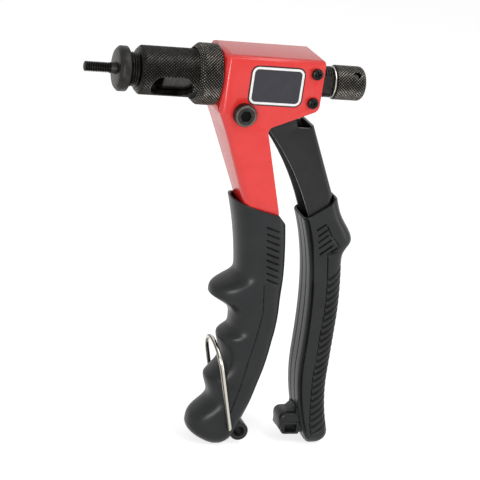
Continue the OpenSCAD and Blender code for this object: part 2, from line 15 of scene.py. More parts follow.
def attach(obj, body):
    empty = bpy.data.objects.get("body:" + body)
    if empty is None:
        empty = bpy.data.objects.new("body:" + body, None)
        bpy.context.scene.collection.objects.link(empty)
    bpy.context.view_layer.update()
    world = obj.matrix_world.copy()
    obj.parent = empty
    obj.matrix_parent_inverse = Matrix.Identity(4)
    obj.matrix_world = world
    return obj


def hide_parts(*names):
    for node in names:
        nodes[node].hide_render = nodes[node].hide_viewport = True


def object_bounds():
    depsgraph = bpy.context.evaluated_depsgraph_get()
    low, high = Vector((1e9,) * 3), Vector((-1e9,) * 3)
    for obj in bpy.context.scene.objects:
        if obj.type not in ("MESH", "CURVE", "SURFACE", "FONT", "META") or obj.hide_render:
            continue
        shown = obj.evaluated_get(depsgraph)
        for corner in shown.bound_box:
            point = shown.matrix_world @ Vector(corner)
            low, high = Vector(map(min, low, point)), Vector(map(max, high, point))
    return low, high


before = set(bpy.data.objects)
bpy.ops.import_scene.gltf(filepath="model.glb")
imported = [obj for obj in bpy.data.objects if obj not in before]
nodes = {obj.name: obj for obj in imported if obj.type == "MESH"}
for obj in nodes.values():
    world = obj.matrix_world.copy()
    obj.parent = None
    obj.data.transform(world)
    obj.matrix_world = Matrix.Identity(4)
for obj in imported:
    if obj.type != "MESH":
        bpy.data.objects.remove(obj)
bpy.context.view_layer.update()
# Metres in a millimetre
MM = 0.001


# Finishes

def linear(code):
    """Linear red, green, blue and alpha of an sRGB hex value."""
    parts = [int(code[k:k + 2], 16) / 255 for k in (1, 3, 5)]
    return [c / 12.92 if c <= 0.04045 else ((c + 0.055) / 1.055) ** 2.4 for c in parts] + [1]


def add(tree, kind, inputs=None, stops=(), **settings):
    """Adds a node. An input is a plain value or the output that feeds it, and stops are the places
    and the shades of a colour ramp."""
    node = tree.nodes.new(kind)
    for name, value in settings.items():
        setattr(node, name, value)
    for name, value in (inputs or {}).items():
        if isinstance(value, bpy.types.NodeSocket):
            tree.links.new(value, node.inputs[name])
        else:
            node.inputs[name].default_value = value
    if stops:
        elements = node.color_ramp.elements
        for at, _ in stops[2:]:
            elements.new(at)
        for element, (at, shade) in zip(elements, stops):
            element.position, element.color = at, linear(shade)
    return node


def blank(name, **sockets):
    """A new material with its shader, and the place on the piece in metres."""
    material = bpy.data.materials.new(name)
    material.use_nodes = True
    tree = material.node_tree
    tree.nodes.clear()
    shader = add(tree, "ShaderNodeBsdfPrincipled", sockets)
    add(tree, "ShaderNodeOutputMaterial", {"Surface": shader.outputs["BSDF"]})
    return material, tree, shader, add(tree, "ShaderNodeTexCoord").outputs["Object"]


def tint(tree, shader, place, size, dark, light):
    """Lets the colour drift between two shades, in patches of the given size."""
    patches = add(tree, "ShaderNodeTexNoise", {"Vector": place, "Scale": 1 / (size * MM), "Detail": 3})
    # Such noise seldom leaves the span from 0.35 to 0.65
    ramp = add(tree, "ShaderNodeValToRGB", {"Fac": patches.outputs["Fac"]},
               stops=((0.35, dark), (0.65, light)))
    tree.links.new(ramp.outputs["Color"], shader.inputs["Base Color"])


def grain(tree, shader, place, size, depth, rough):
    """Unevenness of the given size and depth, which also spreads the roughness between two values."""
    noise = add(tree, "ShaderNodeTexNoise", {"Vector": place, "Scale": 1 / (size * MM), "Detail": 2})
    bump = add(tree, "ShaderNodeBump", {"Height": noise.outputs["Fac"], "Distance": depth * MM})
    spread = add(tree, "ShaderNodeMapRange", {
        "Value": noise.outputs["Fac"], "From Min": 0.3, "From Max": 0.7,
        "To Min": rough[0], "To Max": rough[1]})
    tree.links.new(bump.outputs["Normal"], shader.inputs["Normal"])
    tree.links.new(spread.outputs["Result"], shader.inputs["Roughness"])


def baked_enamel():
    """Polyester powder enamel, sprayed on pressed steel and baked: a deep even red under a clear
    gloss that goes pale where the eye grazes it, with the faint orange peel of melted powder."""
    material, tree, shader, place = blank("baked_enamel", IOR=1.5)
    tint(tree, shader, place, 9, "#db302c", "#e03431")
    # Orange peel is 1 to 2 mm from wave to wave
    grain(tree, shader, place, 1.4, 0.01, (0.2, 0.26))
    return material


def black_oxide():
    """Turned steel blackened in a hot salt bath and oiled: near black, with the soft metallic sheen
    of the steel under the skin. Tool marks of 0.15 mm are too fine to show and are drawn at 0.6 mm."""
    material, tree, shader, place = blank("black_oxide", Metallic=1.0)
    tint(tree, shader, place, 2.5, "#2f2f2e", "#3d3b3a")
    grain(tree, shader, place, 0.6, 0.006, (0.38, 0.5))
    return material


def black_oxide_wear_and_shade():
    """The same skin on knurls and threads, lighter on the points and darker in the grooves: partly the
    wear of handling and the oil and dust left in the grooves, partly a painted highlight on the points
    and painted shade in the grooves. The piece's own crest value says how high a place stands. The tool
    marks are drawn as coarse as on the other black steel."""
    material, tree, shader, place = blank("black_oxide_wear_and_shade", Metallic=1.0)
    crest = add(tree, "ShaderNodeAttribute", attribute_name="crest")
    # Fingers rub unevenly, in patches of a few millimetres
    patches = add(tree, "ShaderNodeTexNoise", {"Vector": place, "Scale": 1 / (3 * MM), "Detail": 2})
    uneven = add(tree, "ShaderNodeMapRange", {
        "Value": patches.outputs["Fac"], "From Min": 0.3, "From Max": 0.7,
        "To Min": -0.1, "To Max": 0.06})
    height = add(tree, "ShaderNodeMath", {0: crest.outputs["Fac"], 1: uneven.outputs["Result"]})
    # Dark grooves and light points: dirt and wear, and also painted shade and painted highlight
    ramp = add(tree, "ShaderNodeValToRGB", {"Fac": height.outputs[0]}, stops=(
        (0, "#0b0b0b"), (0.25, "#272625"), (0.5, "#3c3b39"), (0.72, "#64605a"), (0.92, "#b4aca2")))
    tree.links.new(ramp.outputs["Color"], shader.inputs["Base Color"])
    grain(tree, shader, place, 0.6, 0.006, (0.34, 0.46))
    return material


def stove_paint():
    """Black stove enamel dipped and baked on pressed steel: flat colour and a soft broad gloss, from
    shallow waves of about 1 mm in the skin."""
    material, tree, shader, place = blank("stove_paint", **{"IOR": 1.5, "Specular IOR Level": 0.3})
    tint(tree, shader, place, 6, "#141414", "#191918")
    grain(tree, shader, place, 0.9, 0.008, (0.3, 0.38))
    return material


def moulded_nylon():
    """Glass-filled nylon from a spark-eroded mould: black, with a fine even grain that spreads its
    gloss, and matt in the grooves, which no hand polishes; the grooves are also made blacker with
    painted shade. The real grain of 0.1 mm is too fine to show and is drawn at 0.5 mm. The piece's own
    value of how deep in a groove a place lies says how much shade is painted there."""
    material, tree, shader, place = blank("moulded_nylon", **{"IOR": 1.5, "Specular IOR Level": 0.22})
    grain(tree, shader, place, 0.5, 0.01, (0.28, 0.36))
    sunk_shade = add(tree, "ShaderNodeAttribute", attribute_name="sunk_shade")
    # Hands leave it a little lighter in broad patches
    patches = add(tree, "ShaderNodeTexNoise", {"Vector": place, "Scale": 1 / (14 * MM), "Detail": 3})
    # Painted shade: the deeper in a groove, the blacker
    height = add(tree, "ShaderNodeMath", {
        0: sunk_shade.outputs["Fac"], 1: -0.55, 2: patches.outputs["Fac"]}, operation="MULTIPLY_ADD")
    ramp = add(tree, "ShaderNodeValToRGB", {"Fac": height.outputs[0]},
               stops=((0, "#050505"), (0.35, "#212223"), (0.65, "#262728")))
    polish = shader.inputs["Roughness"].links[0].from_socket
    matt = add(tree, "ShaderNodeMath", {
        0: sunk_shade.outputs["Fac"], 1: 0.45, 2: polish}, operation="MULTIPLY_ADD", use_clamp=True)
    tree.links.new(matt.outputs[0], shader.inputs["Roughness"])
    tree.links.new(ramp.outputs["Color"], shader.inputs["Base Color"])
    return material


def printed_film(name, dark, light):
    """Polyester label film, printed: a flat satin sheet. Its grain is too fine to show and is drawn,
    very shallow, at 0.8 mm."""
    material, tree, shader, place = blank(name, **{"IOR": 1.5, "Specular IOR Level": 0.36})
    tint(tree, shader, place, 5, dark, light)
    grain(tree, shader, place, 0.8, 0.003, (0.42, 0.48))
    return material


def plain_steel(name, dark, light, rough):
    """Turned steel, bare or plated: a clean metal with faint uneven polish. Tool marks of 0.15 mm are
    too fine to show and are drawn at 0.6 mm."""
    material, tree, shader, place = blank(name, Metallic=1.0)
    tint(tree, shader, place, 2, dark, light)
    grain(tree, shader, place, 0.6, 0.003, rough)
    return material


def nickel_wire():
    """Drawn steel wire, bent cold and nickel plated: bright and a little warm, with dark stripes along
    it that are painted reflections of dark surroundings. The stripes are drawn 0.8 mm wide. The
    piece's own stripe value says where they run."""
    material, tree, shader, place = blank("nickel_wire", Metallic=1.0)
    # Painted reflection: dark stripes where the wire would mirror dark surroundings
    line = add(tree, "ShaderNodeAttribute", attribute_name="painted_stripe")
    ramp = add(tree, "ShaderNodeValToRGB", {"Fac": line.outputs["Fac"]},
               stops=((0, "#c3bfb5"), (1, "#45433f")))
    tree.links.new(ramp.outputs["Color"], shader.inputs["Base Color"])
    # The plating follows slow waves that straightening leaves in the wire
    grain(tree, shader, place, 8, 0.003, (0.07, 0.1))
    return material


def painted_shade_black():
    """Near black and dull: painted shade at the bottom of a socket. Its grain is drawn at 0.6 mm."""
    material, tree, shader, place = blank("painted_shade_black", **{"Specular IOR Level": 0.1})
    tint(tree, shader, place, 1, "#0a0a09", "#100f0e")
    grain(tree, shader, place, 0.6, 0.02, (0.8, 0.95))
    return material


def tumbled_zinc():
    """Zinc, die-cast and tumbled: pale grey, uneven and dull. The dents of 0.3 mm that tumbling leaves
    are too fine to show and are drawn at 1.2 mm."""
    material, tree, shader, place = blank("tumbled_zinc", Metallic=1.0)
    tint(tree, shader, place, 3, "#7f7f7d", "#95958f")
    grain(tree, shader, place, 1.2, 0.02, (0.5, 0.62))
    return material


finishes = {
    "red_enamel": baked_enamel(),
    "label_film": printed_film("label_film", "#0a0a0c", "#0e0e10"),
    "black_oxide": black_oxide(),
    "black_coat": stove_paint(),
    "cast_alloy": tumbled_zinc(),
    "grey_steel": plain_steel("grey_steel", "#3d3c3b", "#484644", (0.3, 0.4)),
    "bright_steel": plain_steel("bright_zinc", "#b5b4ae", "#c9c7c0", (0.22, 0.32)),
    "nickel_wire": nickel_wire(),
    "grip_plastic": moulded_nylon(),
}
oxide_wear_and_shade = black_oxide_wear_and_shade()
black_zinc = plain_steel("black_zinc", "#232323", "#2c2c2b", (0.2, 0.26))
# Lighter steel for the rim of the pivot bolt's head: a painted highlight
rim_highlight_steel = plain_steel("rim_highlight_steel", "#56524d", "#6a655f", (0.34, 0.44))
white_print = printed_film("white_print", "#e9e8e7", "#f0efee")
# Near black for the bottom of the bolt's socket: painted shade
socket_shade = painted_shade_black()
grey_print = printed_film("grey_print", "#2a2930", "#2e2d34")


# Making and placing pieces

# Edges that bend by more degrees than this stay sharp
crease_angle = 32


def solid_mesh(name, points, faces):
    """A mesh of points in millimetres, with its faces turned outwards."""
    mesh = bpy.data.meshes.new(name)
    mesh.from_pydata((np.asarray(points, float) * MM).tolist(), [], faces)
    shape = bmesh.new()
    shape.from_mesh(mesh)
    bmesh.ops.recalc_face_normals(shape, faces=shape.faces)
    shape.to_mesh(mesh)
    shape.free()
    return mesh


def place_piece(name, points, faces, body, slot, stands_for=(), crease=crease_angle, material=None):
    """Makes an object of points in millimetres that rides on a body and stands for CAD nodes."""
    mesh = solid_mesh(name, points, faces)
    mesh.materials.append(material or finishes[slot])
    piece = bpy.data.objects.new(name, mesh)
    bpy.context.scene.collection.objects.link(piece)
    soften(piece, crease)
    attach(piece, body)
    if stands_for:
        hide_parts(*stands_for)
    return piece


def soften(piece, crease=crease_angle):
    """Shades a piece smooth except along edges sharper than the crease angle."""
    piece.data.shade_smooth()
    piece.data.set_sharp_from_angle(angle=math.radians(crease))


def give_values(mesh, name, values):
    """Stores a value for each point of a mesh, for its material to read."""
    mesh.attributes.new(name, "FLOAT", "POINT").data.foreach_set("value", values)


def combine(piece, points, faces, operation="DIFFERENCE"):
    """Takes a solid given by its points and faces out of a piece, or joins it on."""
    other = bpy.data.objects.new("other", solid_mesh("other", points, faces))
    bpy.context.scene.collection.objects.link(other)
    tool = piece.modifiers.new("combine", "BOOLEAN")
    tool.operation, tool.solver, tool.object = operation, "EXACT", other
    bpy.context.view_layer.update()
    whole = piece.evaluated_get(bpy.context.evaluated_depsgraph_get())
    shaped = bpy.data.meshes.new_from_object(whole)
    piece.modifiers.clear()
    before, piece.data = piece.data, shaped
    bpy.data.objects.remove(other)
    if "crest" in before.attributes:
        carry_crest(before, shaped)
    soften(piece)


def carry_crest(before, after):
    """Gives each point that a cut leaves in place its crest value, and a new point that of a milled
    wall, which is lighter: painted light on walls that lie in shade."""
    values = before.attributes["crest"].data
    tree = KDTree(len(values))
    for k, vertex in enumerate(before.vertices):
        tree.insert(vertex.co, k)
    tree.balance()
    found = [tree.find(vertex.co) for vertex in after.vertices]
    same_place = 0.01 * MM
    # Points new to the cut get a lighter value, as painted light
    nearest = [values[k].value if gap < same_place else milled_wall_light for _, k, gap in found]
    if "crest" in after.attributes:
        after.attributes.remove(after.attributes["crest"])
    give_values(after, "crest", nearest)


def ring_faces(rows, columns, closed=False):
    """Four-sided faces between rows of points that each go once round; closed joins the last row to
    the first."""
    return [[k * columns + j, k * columns + (j + 1) % columns,
             (k + 1) % rows * columns + (j + 1) % columns, (k + 1) % rows * columns + j]
            for k in range(rows if closed else rows - 1) for j in range(columns)]


def prism(outline, low, high, edge=0.0):
    """Points and faces of an outline of x and z, drawn out along y from low to high, with a radius
    along the edges of both ends."""
    ring = np.array(outline, float)
    n = len(ring)
    along = np.roll(ring, -1, axis=0) - np.roll(ring, 1, axis=0)
    inward = np.stack([-along[:, 1], along[:, 0]], -1) / np.linalg.norm(along, axis=1)[:, None]
    ahead = np.roll(ring, -1, axis=0)
    if (ring[:, 0] * ahead[:, 1] - ahead[:, 0] * ring[:, 1]).sum() < 0:
        inward = -inward
    turns = np.radians((0, 22.5, 45, 67.5, 90)) if edge else [math.pi / 2]
    levels = [(low + edge * (1 - math.cos(a)), edge * (1 - math.sin(a))) for a in turns]
    levels += [(high - edge * (1 - math.cos(a)), edge * (1 - math.sin(a))) for a in turns[::-1]]
    points = [(x, y, z) for y, inset in levels for x, z in ring + inward * inset]
    last = len(points) - n
    return points, [list(range(n))[::-1], list(range(last, last + n)), *ring_faces(len(levels), n)]


def circle(x, z, radius, step):
    """Outline of a circle, or of a regular polygon, with a corner every step degrees."""
    return [(x + radius * math.cos(a), z + radius * math.sin(a))
            for a in np.radians(np.arange(0, 360, step))]


def rounded(points, steps=6):
    """Outline whose corners, given as x, z and radius, are rounded."""
    out = []
    for k, (x, z, r) in enumerate(points):
        here = np.array([x, z], float)
        a = np.array(points[k - 1][:2], float) - here
        b = np.array(points[(k + 1) % len(points)][:2], float) - here
        a, b = a / np.linalg.norm(a), b / np.linalg.norm(b)
        half = math.acos(np.clip(a @ b, -1, 1)) / 2
        if r == 0:
            out.append(tuple(here))
            continue
        middle = here + (a + b) / np.linalg.norm(a + b) * r / math.sin(half)
        start, stop = here + a * r / math.tan(half) - middle, here + b * r / math.tan(half) - middle
        turn = math.atan2(start[0] * stop[1] - start[1] * stop[0], start @ stop)
        for s in range(steps + 1):
            c, d = math.cos(turn * s / steps), math.sin(turn * s / steps)
            out.append((middle[0] + c * start[0] - d * start[1], middle[1] + d * start[0] + c * start[1]))
    return out


def rotated(points, axis, degrees):
    """Points turned about the X, Y or Z axis."""
    return np.asarray(points) @ np.array(Matrix.Rotation(math.radians(degrees), 3, axis)).T


# Turned pieces. A station is x, the radius and the crest value, each one value or one for every
# column. The crest value runs from 0 in a groove, darker with dirt and painted shade, to 1 on a
# point, lighter with wear and a painted highlight.

# Crest values of a plain turned surface and of a milled wall, lighter as painted light
smooth_crest, milled_wall_light = 0.39, 0.58


def column_angles(columns):
    """Angle of each column of a turned piece round the drive axis."""
    return np.arange(columns) * 2 * math.pi / columns


def turned(name, stations, columns, body, node, tube=True, slot="black_oxide", material=oxide_wear_and_shade):
    """Surface of revolution about the drive axis. A tube's last station meets its first; a rod's ends
    are closed."""
    angle = column_angles(columns)
    stations = [s if len(s) == 3 else (*s, smooth_crest) for s in stations]
    x, r, crest = (np.array([np.broadcast_to(s[k], columns) for s in stations], float) for k in range(3))
    points = np.stack([x, r * np.cos(angle), r * np.sin(angle)], -1).reshape(-1, 3)
    rows = len(stations)
    i, j = np.meshgrid(np.arange(rows if tube else rows - 1), np.arange(columns), indexing="ij")
    below, beside = (i + 1) % rows, (j + 1) % columns
    a, b, c, d = (p * columns + q for p, q in ((i, j), (i, beside), (below, beside), (below, j)))
    # Each four-sided cell folds along its lower diagonal, so that knurls and threads keep clean grooves
    flat = r.reshape(-1)
    fold = flat[a] + flat[c] <= flat[b] + flat[d]
    first = np.where(fold[..., None], np.stack([a, b, c], -1), np.stack([a, b, d], -1))
    second = np.where(fold[..., None], np.stack([a, c, d], -1), np.stack([b, c, d], -1))
    faces = np.concatenate([first.reshape(-1, 3), second.reshape(-1, 3)])[:, ::-1].tolist()
    if not tube:
        faces += [list(range(columns)), list(range((rows - 1) * columns, rows * columns))[::-1]]
    piece = place_piece(name, points, faces, body, slot, (node,), material=material)
    give_values(piece.data, "crest", crest.reshape(-1))
    return piece


def knurl(x0, x1, radius, columns, wear_and_sheen=1.0, dirt_and_shade=0.15, depth=0.62, limit=None):
    """Stations of a diamond knurl with V grooves between its points, as far apart along the piece as
    round it. Two arguments give the crest values of points and grooves, which the finish makes
    lighter and darker, as wear and dirt and also as painted highlight and painted shade. Limit gives
    the largest radius at an x."""
    pitch = 4 * math.pi * radius / columns
    count = max(2, round(2 * (x1 - x0) / pitch))
    odd = np.arange(columns) % 2
    out = []
    for k in range(count + 1):
        x = x0 + (x1 - x0) * k / count
        low = (odd + k) % 2
        top = min(radius, limit(x)) if limit else radius
        out.append((x, top - depth * low, np.where(low, dirt_and_shade, wear_and_sheen)))
    return out


def knurl_columns(radius, pitch):
    """Columns of a knurl with whole diamonds round the piece."""
    return 2 * round(2 * math.pi * radius / pitch)


def thread(x0, x1, radius, depth, pitch, columns, fade=0.6, steps=8, wear_and_sheen=0.75, dirt_and_shade=0.12):
    """Stations of a V thread with flat crests, which runs out over the length fade at both ends."""
    turns = np.arange(columns) / columns
    out = []
    for k in range(round((x1 - x0) / pitch * steps) + 1):
        x = x0 + k * pitch / steps
        # 0 on the flat crests and 1 on the narrower flats at the roots
        wave = np.clip(1.3 * np.abs(2 * ((x / pitch - turns) % 1) - 1) - 0.15, 0, 1)
        share = np.clip(min(x - x0, x1 - x) / fade, 0, 1)
        # Crests lighter and roots darker: wear and dirt, and also painted highlight and painted shade
        crest = wear_and_sheen + (dirt_and_shade - wear_and_sheen) * wave
        out.append((x, radius - depth * wave * share, smooth_crest + (crest - smooth_crest) * share))
    return out


def hexagon(across_flats, columns):
    """Radius of a hexagon at each column."""
    angle = np.arange(columns) * 360 / columns
    return across_flats / 2 / np.cos(np.radians(angle % 60 - 30))


def rounding(x, r, radius, start=0, step=15):
    """Stations of a quarter round that turns from a radius r at x - radius to the end face at x."""
    return [(x - radius + radius * math.sin(a), r - radius + radius * math.cos(a))
            for a in np.radians(np.arange(start, 91, step))]


# The mandrel: thread, plain stretch, round head and hexagon
mandrel_tip, mandrel_stop, mandrel_r, plain_r, mandrel_columns = -18.3, -3.6, 3, 3.25, 48
head_front, head_rear, head_r, hexagon_end = 28.4, 33.6, 5, 40.6
drive_hexagon = hexagon(6, mandrel_columns)
turned("mandrel_rod", [
    (mandrel_tip, 1.6), (mandrel_tip + 0.1, 2.15),
    *thread(mandrel_tip + 0.7, mandrel_stop, mandrel_r, depth=0.62, pitch=1, columns=mandrel_columns,
            fade=0.3, wear_and_sheen=0.5),
    (mandrel_stop + 0.4, 2.7), (mandrel_stop + 0.5, plain_r - 0.1), (mandrel_stop + 0.7, plain_r),
    (head_front, plain_r), (head_front, head_r), (head_rear, head_r),
    (head_rear, drive_hexagon), (hexagon_end, drive_hexagon),
], mandrel_columns, "drive", "mandrel", tube=False)

# The nosepiece: a flange with rounded edges, and a neck with the thread that screws into the sleeve
flange_r, neck_r, nose_bore_r, nose_rear, nose_columns = 12.9, 9.8, 3.33, 17.5, 120
turned("nosepiece_flange", [
    (0, nose_bore_r + 0.5), (0, flange_r - 2.1), (0.12, flange_r - 1.8), (0.45, flange_r - 1.35),
    (1.5, flange_r - 0.3), (1.8, flange_r - 0.08), (2.1, flange_r), (5.5, flange_r),
    (5.8, flange_r - 0.1), (6, flange_r - 0.3), (7.4, neck_r + 0.6), (7.6, neck_r + 0.3),
    (7.62, neck_r - 0.5),
    *thread(8, 13.2, neck_r, depth=0.6, pitch=1.4, columns=nose_columns, fade=0.15, steps=10, wear_and_sheen=0.5),
    (nose_rear, neck_r), (nose_rear, nose_bore_r), (0.5, nose_bore_r),
], nose_columns, "nose", "nosepiece")

# The sleeve is bored for the nosepiece in front, wider behind it, and for the nose tube at the rear
sleeve_x, sleeve_front_r, sleeve_r, sleeve_end, sleeve_pitch = 12, 12, 14.1, 51.1, 1.9
neck_bore, neck_bore_end, middle_bore, tube_bore, tube_bore_x = 9.88, 18, 10.5, 12.48, 43.4
sleeve_columns = knurl_columns(sleeve_r, sleeve_pitch)
sleeve = turned("adjusting_sleeve_knurled", [
    (sleeve_x, neck_bore, 0), (sleeve_x, sleeve_front_r - 0.3, 0.1),
    (sleeve_x + 0.12, sleeve_front_r, 0.3), (sleeve_x + 1.1, sleeve_front_r + 1, 0.3),
    *knurl(sleeve_x + 1.3, sleeve_end - 0.6, sleeve_r, sleeve_columns, wear_and_sheen=0.72,
           limit=lambda x: sleeve_front_r + 1.05 * (x - sleeve_x)),
    (sleeve_end, sleeve_r - 0.8), (sleeve_end, tube_bore), (tube_bore_x, tube_bore),
    (tube_bore_x, middle_bore), (neck_bore_end, middle_bore), (neck_bore_end, neck_bore),
], sleeve_columns, "sleeve", "adjusting_sleeve")
# Two long windows with round ends, milled right through
window, window_half, window_turn = (18.4, 43.2), 7, 30
stadium = [
    (end + side * (window_half * math.cos(a) - window_half), window_half * math.sin(a) * side)
    for end, side in ((window[1], 1), (window[0], -1))
    for a in np.radians(np.arange(-90, 91, 6))]
points, faces = prism(stadium, -20, 20)
combine(sleeve, rotated(points, "X", window_turn), faces)

# The lock ring's front is recessed, with a lip round the sleeve's rear end
ring_front, ring_rear, ring_r, ring_lip, ring_slope, ring_pitch = 45.3, 58.6, 17.8, 15.4, 2.7, 1.8
recess_r, recess_end = 14.7, 51.5
ring_columns = knurl_columns(ring_r, ring_pitch)
turned("lock_ring_knurled", [
    (ring_front + 1.6, recess_r), (ring_front + 0.2, recess_r), (ring_front, recess_r + 0.2),
    (ring_front, ring_lip - 0.1),
    *knurl(ring_front + 0.3, ring_rear - 0.6, ring_r, ring_columns, wear_and_sheen=0.98, dirt_and_shade=0.16,
           limit=lambda x: ring_lip + (x - ring_front) * (ring_r - ring_lip) / ring_slope),
    (ring_rear - 0.3, ring_r - 0.5), (ring_rear, ring_r - 0.9), (ring_rear, tube_bore),
    (recess_end, tube_bore), (recess_end, recess_r),
], ring_columns, "ring", "lock_ring")

# The knob has a domed end and a hole across it for its pin
knob_x, knob_end, knob_r, knob_pitch, knob_round = 130, 148.7, 10.2, 1.8, 3.4
pin_x, pin_hole_r, pin_turn = 142.6, 2.1, -42
knob_columns = knurl_columns(knob_r, knob_pitch)
round_x = knob_end - knob_round
knob = turned("drive_knob_knurled", [
    (knob_x, 5.4), (knob_x, knob_r - 1), (knob_x + 0.15, knob_r - 0.75), (knob_x + 0.5, knob_r - 0.3),
    *knurl(knob_x + 0.9, round_x + 1, knob_r, knob_columns, wear_and_sheen=0.98, dirt_and_shade=0.16, depth=0.55,
           limit=lambda x: knob_r - knob_round + math.sqrt(knob_round ** 2 - max(x - round_x, 0) ** 2)),
    *rounding(knob_end, knob_r - 0.25, knob_round - 0.25, start=30),
], knob_columns, "drive", "knob", tube=False)
points, faces = prism(circle(pin_x, 0, pin_hole_r, 12), -12, 12)
combine(knob, rotated(points, "X", pin_turn), faces)

# The draw tube has a neck in front and two flats, which leave its thread on the round sides
draw_x, shoulder_x, draw_thread_x, draw_end = 66.2, 80.07, 112, 128.8
draw_r, draw_neck_r, draw_bore, flat_half, draw_columns = 9.1, 6.9, 5.08, 7, 144
flats = flat_half / np.maximum(np.abs(np.cos(column_angles(draw_columns))), 1e-3)
draw_body = np.minimum(draw_r, flats)
draw_thread = thread(draw_thread_x + 0.2, draw_end - 0.7, draw_r, depth=0.55, pitch=1.5,
                     columns=draw_columns, fade=0.3, wear_and_sheen=0.6)
turned("draw_tube_threaded", [
    (draw_x, draw_bore), (draw_x, draw_neck_r - 0.3), (draw_x + 0.3, draw_neck_r),
    (shoulder_x, draw_neck_r), (shoulder_x, np.minimum(draw_r - 0.4, flats)),
    (shoulder_x + 0.33, draw_body), (draw_thread_x, draw_body),
    *[(x, np.minimum(r, flats), np.where(flats > draw_r - 0.1, crest, smooth_crest))
      for x, r, crest in draw_thread],
    (draw_end - 0.5, np.minimum(draw_r - 0.5, flats - 0.15)),
    (draw_end, np.minimum(draw_r - 1, flats - 0.45)), (draw_end, draw_bore + 0.42),
    (draw_end - 0.4, draw_bore),
], draw_columns, "draw_gear", "draw_tube")

washer_front, washer_rear, washer_r, washer_bore = 128.9, 129.9, 9.25, 5.05
turned("thrust_washer_rounded", [
    (washer_front, washer_bore), (washer_front, washer_r - 0.45), (washer_front + 0.1, washer_r - 0.15),
    (washer_front + 0.3, washer_r), (washer_rear - 0.3, washer_r), (washer_rear - 0.1, washer_r - 0.15),
    (washer_rear, washer_r - 0.45), (washer_rear, washer_bore),
], 96, "drive", "thrust_washer", slot="bright_steel", material=finishes["bright_steel"])


# Moulded grips

def section(z, t, lines, inset=0.0):
    """Points of a grip's cross-sections at heights z, for directions t round the grip. A bluntness of 2
    makes half an ellipse, and more makes it squarer."""
    front, rear, half, blunt_front, blunt_rear = lines(z)
    front, rear, half = front + inset, rear - inset, half - inset
    # The widest line stands a little nearer to the rear
    middle = rear - 0.45 * (rear - front)
    c, s = np.cos(t), np.sin(t)
    power = np.where(c > 0, 2 / blunt_rear, 2 / blunt_front)
    reach = np.where(c > 0, rear - middle, middle - front)
    return np.stack([middle + reach * np.sign(c) * np.abs(c) ** power,
                     half * np.sign(s) * np.abs(s) ** power, z + 0 * t], -1)


def even_directions(z, lines, count):
    """Directions round a grip that give evenly spaced points at one height."""
    # Fine enough for steps of a few thousandths of a millimetre
    t = np.linspace(0, 2 * math.pi, 40001)
    ring = section(np.full(t.shape, float(z)), t, lines)
    run = np.concatenate([[0], np.cumsum(np.linalg.norm(np.diff(ring, axis=0), axis=1))])
    return np.interp(np.arange(count) * run[-1] / count, run, t)


# The wall of a grip's well and the rounded rim round it: how far in, and how far below the mouth
well_rim = ((2.6, 9), (2.1, 4), (1.9, 1), (1.75, 0.3), (1.4, 0.05), (0.7, 0), (0.35, 0.08),
            (0.13, 0.25), (0.03, 0.5), (0, 0.8))
# Height over which a grip rounds off to its closed end
end_round = 9


def moulding(name, lines, mouth, level, end, step, count, relief, body, node):
    """A grip's skin: a well with a rounded rim that follows the mouth line, the outside, and the
    closed end. The mouth is a line of x and z, and below the level the rows lie flat. Lines gives the
    section at a height, and relief the grooves."""
    t = even_directions((level + end) / 2, lines, count)
    line_x, line_z = zip(*mouth)
    rows = []
    for inset, depth in well_rim:
        z = np.full(count, float(mouth[0][1]))
        # The mouth's height depends on x and x on the height, so the two are found by turns
        for _ in range(12):
            z = np.interp(section(z, t, lines, inset)[:, 0], line_x, line_z) - depth
        rows.append(section(z, t, lines, inset))
    top = rows[-1][:, 2]
    upper = round((float(top.mean()) - level) / step)
    heights = [top + (level - top) * k / upper for k in range(1, upper + 1)]
    heights += [np.full(count, z) for z in np.arange(level - step, end + end_round, -step)]
    heights += [np.full(count, end + end_round - (end_round - 0.1) * math.sin(a))
                for a in np.radians(np.arange(4, 89, 4))]
    grid = np.array(rows + [section(z, t, lines) for z in heights])
    down = np.gradient(grid, axis=0)
    sideways = np.roll(grid, -1, axis=1) - np.roll(grid, 1, axis=1)
    normal = np.cross(sideways, down)
    normal /= np.maximum(np.linalg.norm(normal, axis=-1, keepdims=True), 1e-9)
    # The first column runs down the rear, where outwards is +X
    if normal[len(grid) // 2, 0, 0] < 0:
        normal = -normal
    # A lap is the distance round the grip from the middle of its front
    gap = np.linalg.norm(np.roll(grid, -1, axis=1) - grid, axis=-1)
    run = np.cumsum(gap, axis=1) - gap
    front = count // 2
    lap = np.abs(run - run[:, front:front + 1])
    depth, sunk_shade = relief(grid[..., 0], grid[..., 1], grid[..., 2], lap)
    depth[:len(well_rim)] = 0
    points = (grid - normal * depth[..., None]).reshape(-1, 3)
    last = len(points) - count
    faces = ring_faces(len(grid), count)
    faces += [list(range(count))[::-1], list(range(last, last + count))]
    piece = place_piece(name, points, faces, body, "grip_plastic", (node,), crease=60)
    # The share of the grooves' depth makes the finish darker there, as painted shade
    give_values(piece.data, "sunk_shade", sunk_shade.reshape(-1))
    return piece


def groove(x, z, line, width):
    """1 on a line of points, falling smoothly to 0 at half its width away."""
    far = np.full(np.shape(x), 1e9)
    for (x0, z0), (x1, z1) in zip(line, line[1:]):
        dx, dz = x1 - x0, z1 - z0
        t = np.clip(((x - x0) * dx + (z - z0) * dz) / (dx * dx + dz * dz), 0, 1)
        far = np.minimum(far, np.hypot(x - x0 - t * dx, z - z0 - t * dz))
    share = np.clip(1 - far / (width / 2), 0, 1)
    return share * share * (3 - 2 * share)


def swell(share, at, upper, lower, power_up=2, power_low=2):
    """Smooth bump with its own width and bluntness above and below its top."""
    above = share < at
    away = np.abs(share - at) / np.where(above, upper, lower)
    return np.exp(-away ** np.where(above, power_up, power_low))


